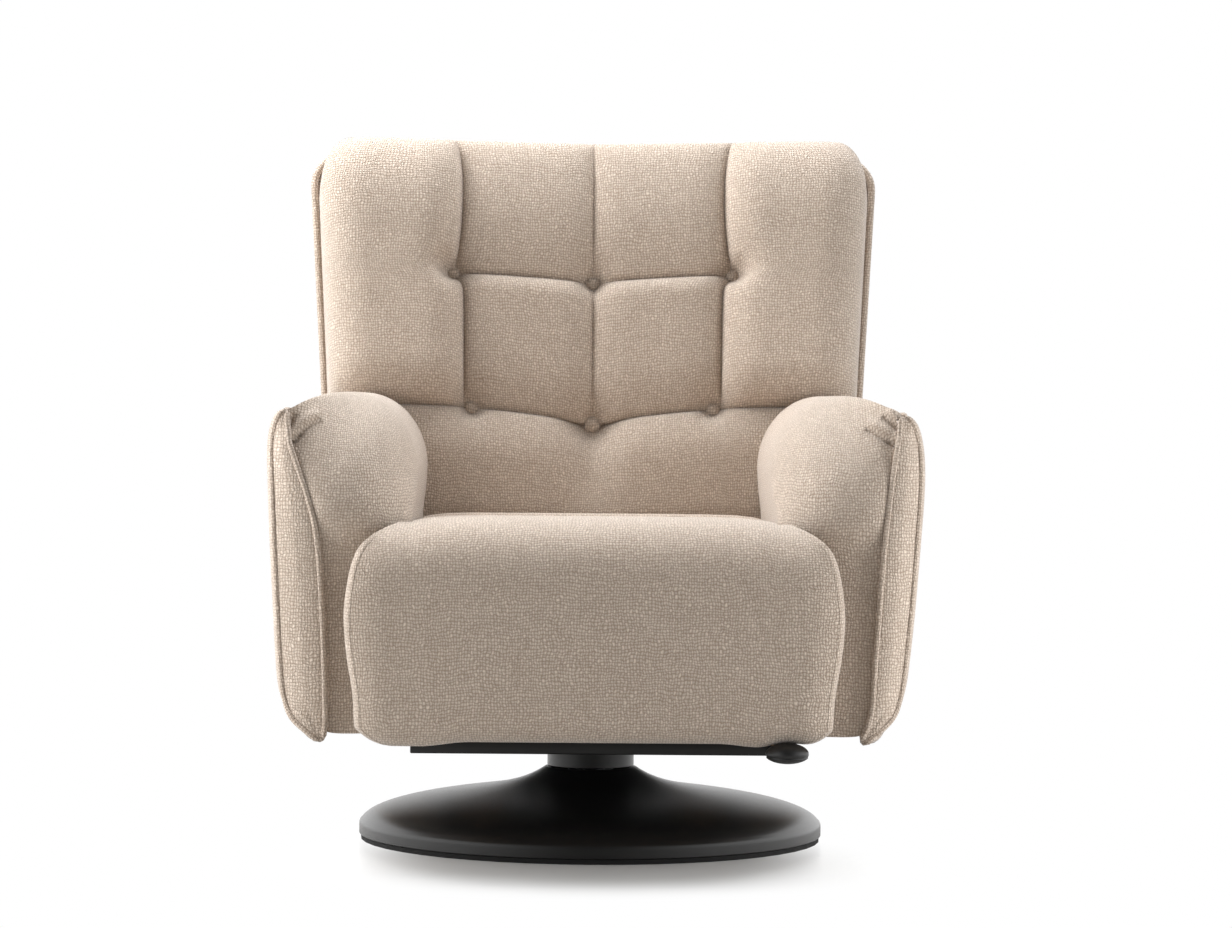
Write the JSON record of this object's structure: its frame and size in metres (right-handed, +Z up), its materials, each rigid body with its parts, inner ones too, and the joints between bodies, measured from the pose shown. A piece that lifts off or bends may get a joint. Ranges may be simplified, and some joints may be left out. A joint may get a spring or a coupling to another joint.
{
  "type": "swivel recliner",
  "caption": "Upholstered swivel recliner with a button-tufted reclining back, padded arms, a front panel that swings up as a footrest and a round trumpet base.",
  "frame": {"origin": "on the floor, on the swivel axis, which is the middle of the round base", "axes": "+Z up, the sitter faces -Y, +X is the sitter's left side where the release paddle is"},
  "size_m": [0.798, 0.884, 0.9281],
  "materials": {
    "cover": "coarse cream weave",
    "black_metal": "satin black powder coat",
    "zinc_steel": "zinc plated",
    "plywood": "bare birch plywood",
    "floor_rubber": "matt",
    "black_plastic": "fine satin",
    "webbing": "woven elastic strap"
  },
  "bodies": {
    "base": {"base_floor_pad": "floor_rubber", "base_ballast_plate": "zinc_steel", "base_trumpet_cover": "black_metal", "swivel_post": "zinc_steel", "swivel_bearing_ring": "zinc_steel", "swivel_lock_nut": "zinc_steel"},
    "chassis": {"column_sleeve": "black_metal", "swivel_plate": "black_metal", "front_crossbar": "black_metal", "rear_crossbar": "black_metal", "subframe_rail_left": "black_metal", "subframe_rail_right": "black_metal", "outrigger_front": "black_metal", "outrigger_rear": "black_metal", "seat_side_panel_left": "plywood", "seat_side_panel_right": "plywood", "seat_front_rail": "plywood", "seat_rear_rail": "plywood", "seat_spring_1": "zinc_steel", "seat_spring_2": "zinc_steel", "seat_spring_3": "zinc_steel", "seat_cushion": "cover", "arm_panel_left": "plywood", "arm_panel_right": "plywood", "arm_bolster_left": "cover", "arm_bolster_right": "cover", "arm_outer_pad_left": "cover", "arm_outer_pad_right": "cover", "rear_apron": "cover", "back_hinge_plate_left": "zinc_steel", "back_hinge_plate_right": "zinc_steel", "footrest_hinge_fixed_left": "zinc_steel", "footrest_hinge_fixed_right": "zinc_steel", "gas_spring_cylinder": "black_metal", "gas_spring_cradle": "black_metal", "release_head": "black_metal"},
    "back": {"back_stile_left": "plywood", "back_stile_right": "plywood", "back_top_rail": "plywood", "back_bottom_rail": "plywood", "back_webbing": "webbing", "back_hinge_arm_left": "zinc_steel", "back_hinge_arm_right": "zinc_steel", "back_crank": "zinc_steel", "back_cushion": "cover", "back_rear_panel": "cover", "back_button_1": "cover", "back_button_2": "cover", "back_button_3": "cover", "back_button_4": "cover", "back_button_5": "cover", "back_button_6": "cover"},
    "footrest": {"footrest_board": "plywood", "footrest_pad": "cover", "footrest_hinge_leaf_left": "zinc_steel", "footrest_hinge_leaf_right": "zinc_steel"},
    "gas_rod": {"gas_spring_rod": "zinc_steel"},
    "lever": {"release_shaft": "zinc_steel", "release_lever_arm": "black_metal", "release_paddle": "black_plastic"}
  },
  "joints": [
    {"name": "swivel", "type": "hinge", "parent": "base", "child": "chassis", "pos_m": [0, 0, 0], "axis": [0, 0, 1], "continuous": true},
    {"name": "back_recline", "type": "hinge", "parent": "chassis", "child": "back", "pos_m": [0, 0.245, 0.265], "axis": [-1, 0, 0], "range_deg": [0, 38]},
    {"name": "gas_spring_stroke", "type": "slide", "parent": "chassis", "child": "gas_rod", "axis": [0, -1, 0], "range_m": [0, 0.0456]},
    {"name": "footrest_lift", "type": "hinge", "parent": "chassis", "child": "footrest", "pos_m": [0, -0.40305, 0.39505], "axis": [-1, 0, 0], "range_deg": [0, 80]},
    {"name": "release_lever", "type": "hinge", "parent": "chassis", "child": "lever", "pos_m": [0, -0.168, 0.139], "axis": [1, 0, 0], "range_deg": [0, 8], "stiffness_Nm_per_rad": 4, "springref_deg": -17.19}
  ],
  "couplings": [
    {"joint": "gas_spring_stroke", "follows": "back_recline", "m_per_rad": 0.068724}
  ]
}
